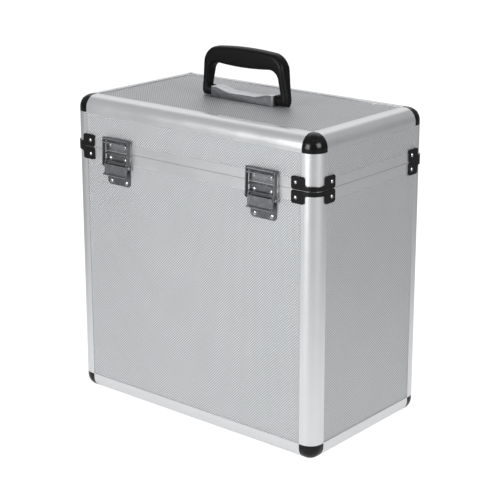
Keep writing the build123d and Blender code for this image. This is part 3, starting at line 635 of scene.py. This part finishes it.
def handle_piece(material):
    """Moulded grip: leaning legs, a crowned hand piece, round feet and inward bosses on the pivots."""
    pivot = CASE_TOP + PIVOT_RISE
    leg = GRIP_LEG_DEPTH / 2
    foot = pivot - leg + FOOT_CLEARANCE
    bend = CASE_TOP + GRIP_BEND
    shoulder = CASE_TOP + GRIP_TOP - GRIP_CROWN
    opening = CASE_TOP + GRIP_OPENING
    inner = GRIP_HALF_WIDTH - GRIP_LEG
    inner_lean = GRIP_LEAN / 2 * (opening - bend) / (shoulder - bend)
    outer = GRIP_HALF_WIDTH
    outer_shoulder, inner_shoulder = (outer - GRIP_LEAN, shoulder), (inner - inner_lean, opening)
    crown, bulge = CASE_TOP + GRIP_TOP, opening - GRIP_BULGE
    outside = grip_outline((outer, foot), (outer, bend), outer_shoulder, crown, GRIP_CORNER)
    inside = grip_outline((inner, foot), (inner, bend), inner_shoulder, bulge, GRIP_CORNER)
    stations = []
    for far, near in zip(outside, inside):
        middle = (far + near) / 2
        widen = min(1.0, max(0.0, (middle.y - bend) / (opening - bend)))
        depth = leg + (GRIP_DEPTH / 2 - leg) * widen * widen * (3 - 2 * widen)
        if middle.y < pivot:
            depth = math.sqrt(max(FOOT_FLAT, leg**2 - (pivot - middle.y) ** 2))
        stations.append((middle, (far - near).normalized(), (far - near).length / 2, depth))
    for middle, out, half_width, half_depth in stations[-2::-1]:
        stations.append((Vector((-middle.x, middle.y)), Vector((-out.x, out.y)), half_width, half_depth))
    rings = []
    for middle, out, half_width, half_depth in stations:
        section = rounded_rectangle(half_width, half_depth, GRIP_EDGE)
        rings.append([Vector((middle.x + out.x * u, v, middle.y + out.y * u)) for u, v in section])
    mesh = bmesh.new()
    loft(mesh, rings)
    for side in (-1, 1):
        turned = [(BOSS_FACE + x, less) for x, less in BOSS_ROUNDING] + [(inner + BOSS_SUNK, 0.0)]
        loft(mesh, [round_ring(side * x, 0, pivot, BOSS_RADIUS - less) for x, less in turned])
    place_piece(mesh, "grip_moulding", "handle", ["handle_grip"], material, sharp=60)


def saddle_piece(material, top_highlight):
    """Pressed saddle between the feet: a closed top that dips in the middle, with softened edges and a
    painted highlight on its upward faces.
    """
    wide = SADDLE_HALF_LENGTH - SADDLE_DISH_INSET
    rise, dip = SADDLE_END_RISE, SADDLE_END_RISE - SADDLE_MIDDLE_RISE
    top = [(SADDLE_HALF_LENGTH, CASE_TOP + rise)]
    for step in range(DIP_STEPS + 1):
        share = step / DIP_STEPS
        fall = dip * (0.5 - 0.5 * math.cos(math.pi * share))
        top.append((wide - SADDLE_DISH_SLOPE * share, CASE_TOP + rise - fall))
    top += [(-x, z) for x, z in reversed(top)]
    outline = [(-SADDLE_HALF_LENGTH, TOP_PANEL), (SADDLE_HALF_LENGTH, TOP_PANEL)] + top
    mesh = bmesh.new()
    loft(mesh, [[Vector((x, y, z)) for x, z in outline] for y in (-SADDLE_HALF_DEPTH, SADDLE_HALF_DEPTH)])
    bmesh.ops.recalc_face_normals(mesh, faces=mesh.faces)
    round_edges(mesh, SADDLE_EDGE)
    # Painted highlight: faces that look up take the brighter second material, and the sides keep the first,
    # slightly darker one
    for face in mesh.faces:
        face.material_index = int(face.normal.z > FACING)
    piece = place_piece(mesh, "handle_saddle", "lid", ["handle_bracket"], material)
    piece.data.materials.append(top_highlight)


def handle_pin_piece(material):
    """The two pins that carry the grip, from the saddle's end walls into its feet."""
    mesh = bmesh.new()
    for side in (-1, 1):
        turned = ((SADDLE_HALF_LENGTH - SADDLE_SHEET, PIN_RADIUS), (PIN_TIP, PIN_RADIUS))
        loft(mesh, [round_ring(side * x, 0, CASE_TOP + PIVOT_RISE, radius) for x, radius in turned])
    place_piece(mesh, "handle_pivot_pins", "lid", ["handle_pins"], material)


def latch_point(out, up):
    """A (y, z) point so far out from the front face and so far above the split."""
    return (-HALF_DEPTH - out, SPLIT + up)


def draw_loop_piece(side, material):
    """Draw loop: two round-nosed arms, a cross rod and the rolled sleeve that hooks over the strike."""
    middle = LATCH_PLACES[side]
    outline = []
    nose, foot = (*LOOP_BAR, SLEEVE_RADIUS), (*LOOP_PIVOT, LOOP_FOOT_RADIUS)
    for turn in range(2 * NOSE_STEPS + 1):
        angle = math.pi * turn / NOSE_STEPS
        out, up, radius = nose if turn <= NOSE_STEPS else foot
        outline.append(latch_point(out + radius * math.cos(angle), up + radius * math.sin(angle)))
    mesh = bmesh.new()
    for hand in (-1, 1):
        outer = middle + hand * LOOP_HALF_WIDTH
        prism(mesh, outline, outer - hand * LATCH_SHEET, outer)
    y, z = latch_point(*LOOP_BAR)
    reach = LOOP_HALF_WIDTH - LATCH_SHEET
    loft(mesh, [round_ring(middle + x, y, z, SLEEVE_BORE - ROD_CLEARANCE) for x in (-reach, reach)])
    ends = ((-SLEEVE_HALF_LENGTH, SLEEVE_BORE), (-SLEEVE_HALF_LENGTH, SLEEVE_RADIUS))
    ends += ((SLEEVE_HALF_LENGTH, SLEEVE_RADIUS), (SLEEVE_HALF_LENGTH, SLEEVE_BORE))
    loft(mesh, [round_ring(middle + x, y, z, radius) for x, radius in ends], tube=True)
    node = side + "_draw_loop"
    place_piece(mesh, side + "_loop_frame", side + "_loop", [node], material)


def latch_bar(mesh, side, outline, half_width):
    """A folded sheet across a latch, with an outline of (out, up) points."""
    middle = LATCH_PLACES[side]
    prism(mesh, [latch_point(*place) for place in outline], middle - half_width, middle + half_width)


def strike_piece(side, material):
    """Strike: a riveted plate with a lip that turns out and up under the loop's sleeve."""
    sheet = LATCH_SHEET
    outline = [
        (0.0, STRIKE_FOOT),
        (sheet, STRIKE_FOOT),
        (sheet, STRIKE_LIP - 1.6 * sheet),
        (1.5 * sheet, STRIKE_LIP - sheet),
        (STRIKE_REACH - 0.5 * sheet, STRIKE_LIP - sheet),
        (STRIKE_REACH, STRIKE_LIP - 0.5 * sheet),
        (STRIKE_REACH, STRIKE_UPTURN),
        (STRIKE_REACH - sheet, STRIKE_UPTURN),
        (STRIKE_REACH - sheet, STRIKE_LIP),
        (0.4 * sheet, STRIKE_LIP),
        (0.0, STRIKE_LIP - 0.4 * sheet),
    ]
    mesh = bmesh.new()
    latch_bar(mesh, side, outline, STRIKE_HALF_WIDTH)
    node = side + "_latch_strike"
    place_piece(mesh, side + "_strike_plate", "lid", [node], material, sharp=50)


def base_plate_bead(side, material):
    """Bead pressed along the base plate's top edge."""
    face, crest = LATCH_SHEET, LATCH_SHEET + BEAD_REACH
    outline = [
        (face - BEAD_ROOT, BEAD_TOP),
        (face + BEAD_CHAMFER, BEAD_TOP),
        (crest, BEAD_TOP - BEAD_REACH),
        (crest, BEAD_FOOT + BEAD_CHAMFER),
        (crest - BEAD_ROOT, BEAD_FOOT),
        (face - BEAD_ROOT, BEAD_FOOT),
    ]
    mesh = bmesh.new()
    latch_bar(mesh, side, outline, BEAD_HALF_WIDTH)
    place_piece(mesh, side + "_base_plate_bead", "base", [], material, sharp=30)


def rivet_heads(name, body, node, rows, material):
    """Domed rivet heads on the latches, one pair for each row given as (out, up)."""
    mesh = bmesh.new()
    profile = [(RIVET_SHANK, -LATCH_SHEET)]
    profile += [(RIVET_RADIUS * wide, RIVET_RISE * high) for wide, high in RIVET_DOME]
    turns = [2 * math.pi * step / HEAD_STEPS for step in range(HEAD_STEPS)]
    circle = [(math.cos(turn), math.sin(turn)) for turn in turns]
    for middle in LATCH_PLACES.values():
        for out, up in rows:
            for hand in (-1, 1):
                x = middle + hand * RIVET_SPACING / 2
                rings = []
                for radius, rise in profile:
                    y, z = latch_point(out + rise, up)
                    rings.append([Vector((x + radius * u, y, z + radius * v)) for u, v in circle])
                loft(mesh, rings)
    place_piece(mesh, name, body, [node], material, sharp=50)


def area_lamp(name, azimuth, elevation, distance, size, power, target):
    """A square softbox seen from the target at an azimuth from the front and an elevation."""
    lamp = bpy.data.lights.new(name, "AREA")
    lamp.shape = "SQUARE"
    lamp.size = size
    lamp.energy = power
    holder = bpy.data.objects.new(name, lamp)
    a, e = math.radians(azimuth), math.radians(elevation)
    towards = Vector((math.sin(a) * math.cos(e), -math.cos(a) * math.cos(e), math.sin(e)))
    holder.location = target + towards * distance
    holder.rotation_euler = towards.to_track_quat("Z", "Y").to_euler()
    bpy.context.scene.collection.objects.link(holder)


def studio_world(looks):
    """White to the camera. To the case, a dim room that grows brighter overhead."""
    world = bpy.data.worlds.new("studio")
    bpy.context.scene.world = world
    world.use_nodes = True
    tree = world.node_tree
    tree.nodes.clear()
    texture = add(tree, "ShaderNodeTexCoord")
    direction = add(tree, "ShaderNodeSeparateXYZ", {"Vector": texture.outputs["Generated"]})
    room = ramp(tree, direction.outputs["Z"], ROOM_HORIZON, ROOM_OVERHEAD, HORIZON_TOP, OVERHEAD_FOOT)
    background = add(tree, "ShaderNodeBackground", {"Strength": by_ray(tree, 1.0, room)})
    background.inputs["Color"].default_value = (*looks.backdrop, 1)
    output = add(tree, "ShaderNodeOutputWorld")
    tree.links.new(background.outputs["Background"], output.inputs["Surface"])


def studio_floor(looks):
    """A wide white floor that shows white to the camera but keeps the case's soft shadow."""
    mesh = bmesh.new()
    bmesh.ops.create_circle(mesh, cap_ends=True, segments=64, radius=FLOOR_RADIUS)
    data = bpy.data.meshes.new("studio_floor")
    mesh.to_mesh(data)
    mesh.free()
    floor = bpy.data.objects.new("studio_floor", data)
    bpy.context.scene.collection.objects.link(floor)
    floor.location = (0, 0, cad_low.z - FLOOR_DROP)
    material, tree, shader = new_material("white_paper_floor")
    darker, paler = ([c * shade for c in looks.backdrop] for shade in FLOOR_SHADES)
    tree.links.new(mixed(tree, noise(tree, *PAPER_FIBRES), darker, paler), shader.inputs["Base Color"])
    shader.inputs["Roughness"].default_value = 0.9
    shader.inputs["Specular IOR Level"].default_value = 0.0
    shader.inputs["Emission Color"].default_value = (*looks.backdrop, 1)
    place = add(tree, "ShaderNodeTexCoord")
    away = add(tree, "ShaderNodeVectorMath", {0: place.outputs["Object"]}, operation="LENGTH")
    distance = away.outputs["Value"]
    bounce = ramp(tree, distance, FLOOR_NEAR, FLOOR_FAR, FLOOR_NEAR_RADIUS, FLOOR_FAR_RADIUS)
    tree.links.new(by_ray(tree, FLOOR_WHITE, bounce), shader.inputs["Emission Strength"])
    data.materials.append(material)


def studio_camera(sizes):
    """The photograph's viewpoint, with the lens shifted only as far as its framing needs."""
    camera = bpy.data.cameras.new("camera")
    camera.lens = sizes.camera_focal / MM
    camera.sensor_width = SENSOR_WIDTH
    camera.shift_y = sizes.camera_rise
    camera.clip_end = CLIP_END
    holder = bpy.data.objects.new("camera", camera)
    holder.location = sizes.camera_place
    holder.rotation_euler = (math.pi / 2 - sizes.camera_tilt, 0, sizes.camera_heading)
    bpy.context.scene.collection.objects.link(holder)
    bpy.context.scene.camera = holder


# Operators


class DISCCASE_OT_boards(bpy.types.Operator):
    """Put the embossed aluminium skin on the boards"""

    bl_idname = "disccase.boards"
    bl_label = "Boards"

    def execute(self, context):
        give(BOARDS, embossed_aluminium(context.scene.disc_case_colours, context.scene.disc_case_sizes))
        return {"FINISHED"}


class DISCCASE_OT_extrusions(bpy.types.Operator):
    """Put satin anodised aluminium on the edge and rim extrusions"""

    bl_idname = "disccase.extrusions"
    bl_label = "Extrusions"

    def execute(self, context):
        looks, sizes = context.scene.disc_case_colours, context.scene.disc_case_sizes
        give(UPRIGHT_FRAME, drawn_aluminium("anodised_extrusion_upright", looks, sizes, "Z"))
        give(LEVEL_FRAME, drawn_aluminium("anodised_extrusion_level", looks, sizes, "X"))
        return {"FINISHED"}


class DISCCASE_OT_corners(bpy.types.Operator):
    """Put moulded plastic on the ball corners and black coating on the braces"""

    bl_idname = "disccase.corners"
    bl_label = "Corners"

    def execute(self, context):
        looks, sizes = context.scene.disc_case_colours, context.scene.disc_case_sizes
        give(CORNER_CAPS, moulded_plastic("gloss_black_corner", looks.plastic, sizes.plastic_edge))
        give(BRACES, moulded_plastic("black_coated_steel", looks.coating, sizes.steel_edge))
        return {"FINISHED"}


class DISCCASE_OT_hardware(bpy.types.Operator):
    """Build the saddle, loops, strikes and rivet heads, and put zinc plate on the hardware"""

    bl_idname = "disccase.hardware"
    bl_label = "Hardware"

    def execute(self, context):
        steel, edge = context.scene.disc_case_colours.steel, context.scene.disc_case_sizes.steel_edge
        sheet = plated_steel("zinc_plated_sheet", steel, edge)
        give(BASE_PLATES + HINGE_LEAVES + ["latch_lever_pins", "handle_backing_plate"], sheet)
        # Painted highlight on the saddle's upward faces, from a brighter copy of the same plate
        top_highlight = plated_steel("painted_highlight_saddle_top", steel, edge)
        saddle_piece(plated_steel("satin_plated_saddle", steel, edge), top_highlight)
        # Painted highlight: a brighter copy of the same plate for the levers, strikes and beads
        highlight_sheet = plated_steel("painted_highlight_sheet", steel, edge)
        give(LEVERS, highlight_sheet)
        # Painted highlight: a brighter copy of the same plate for rivet heads and pins
        rivet = plated_steel("painted_highlight_rivet", steel, edge)
        give(RIVETS + PINS, rivet)
        handle_pin_piece(rivet)
        worn = plated_steel("worn_plated_sheet", steel, edge)
        for side in LATCH_PLACES:
            draw_loop_piece(side, worn)
            strike_piece(side, highlight_sheet)
            # The bead, pressed from the base plate, takes the brighter copy as painted highlight
            base_plate_bead(side, highlight_sheet)
        rivet_heads("strike_rivet_heads", "lid", "strike_rivets", STRIKE_RIVETS, rivet)
        rivet_heads("base_plate_rivet_heads", "base", "latch_base_rivets", BASE_PLATE_RIVETS, rivet)
        return {"FINISHED"}


class DISCCASE_OT_handle(bpy.types.Operator):
    """Build the grip in soft satin plastic"""

    bl_idname = "disccase.handle"
    bl_label = "Handle"

    def execute(self, context):
        looks, sizes = context.scene.disc_case_colours, context.scene.disc_case_sizes
        handle_piece(moulded_plastic("satin_black_grip", looks.grip, sizes.plastic_edge))
        return {"FINISHED"}


class DISCCASE_OT_inside(bpy.types.Operator):
    """Build the foam linings and finish the divider"""

    bl_idname = "disccase.inside"
    bl_label = "Inside"

    def execute(self, context):
        looks, sizes = context.scene.disc_case_colours, context.scene.disc_case_sizes
        foam = closed_cell_foam(looks, sizes)
        for node, body in FOAM.items():
            foam_piece(node, body, foam, sizes)
        board = moulded_plastic("matt_black_board", looks.grip, sizes.plastic_edge)
        give(["disc_divider", "divider_channels"], board)
        return {"FINISHED"}


class DISCCASE_OT_stage(bpy.types.Operator):
    """Set the white studio, its softboxes and the camera"""

    bl_idname = "disccase.stage"
    bl_label = "Studio"

    def execute(self, context):
        looks, sizes = context.scene.disc_case_colours, context.scene.disc_case_sizes
        studio_world(looks)
        studio_floor(looks)
        target = Vector((0, 0, (cad_low.z + cad_high.z) / 2))
        for name, settings in SOFTBOXES.items():
            area_lamp(name, *settings, target)
        studio_camera(sizes)
        context.scene.view_settings.view_transform = "Standard"
        return {"FINISHED"}


class DISCCASE_PT_panel(bpy.types.Panel):
    bl_label = "Disc Case"
    bl_idname = "DISCCASE_PT_panel"
    bl_space_type = "VIEW_3D"
    bl_region_type = "UI"
    bl_category = "Disc Case"

    def draw(self, context):
        for settings in (context.scene.disc_case_colours, context.scene.disc_case_sizes):
            box = self.layout.box()
            for name in settings.__annotations__:
                box.prop(settings, name)
        for operator in OPERATORS:
            self.layout.operator(operator.bl_idname)


OPERATORS = [
    DISCCASE_OT_boards,
    DISCCASE_OT_extrusions,
    DISCCASE_OT_corners,
    DISCCASE_OT_hardware,
    DISCCASE_OT_handle,
    DISCCASE_OT_inside,
    DISCCASE_OT_stage,
]
CLASSES = [DiscCaseColours, DiscCaseSizes, *OPERATORS, DISCCASE_PT_panel]


def register():
    for cls in CLASSES:
        bpy.utils.register_class(cls)
    bpy.types.Scene.disc_case_colours = bpy.props.PointerProperty(type=DiscCaseColours)
    bpy.types.Scene.disc_case_sizes = bpy.props.PointerProperty(type=DiscCaseSizes)


def unregister():
    del bpy.types.Scene.disc_case_sizes
    del bpy.types.Scene.disc_case_colours
    for cls in reversed(CLASSES):
        bpy.utils.unregister_class(cls)


def main():
    register()
    bpy.ops.disccase.boards()
    bpy.ops.disccase.extrusions()
    bpy.ops.disccase.corners()
    bpy.ops.disccase.hardware()
    bpy.ops.disccase.handle()
    bpy.ops.disccase.inside()
    bpy.ops.disccase.stage()


if __name__ == "__main__":
    main()
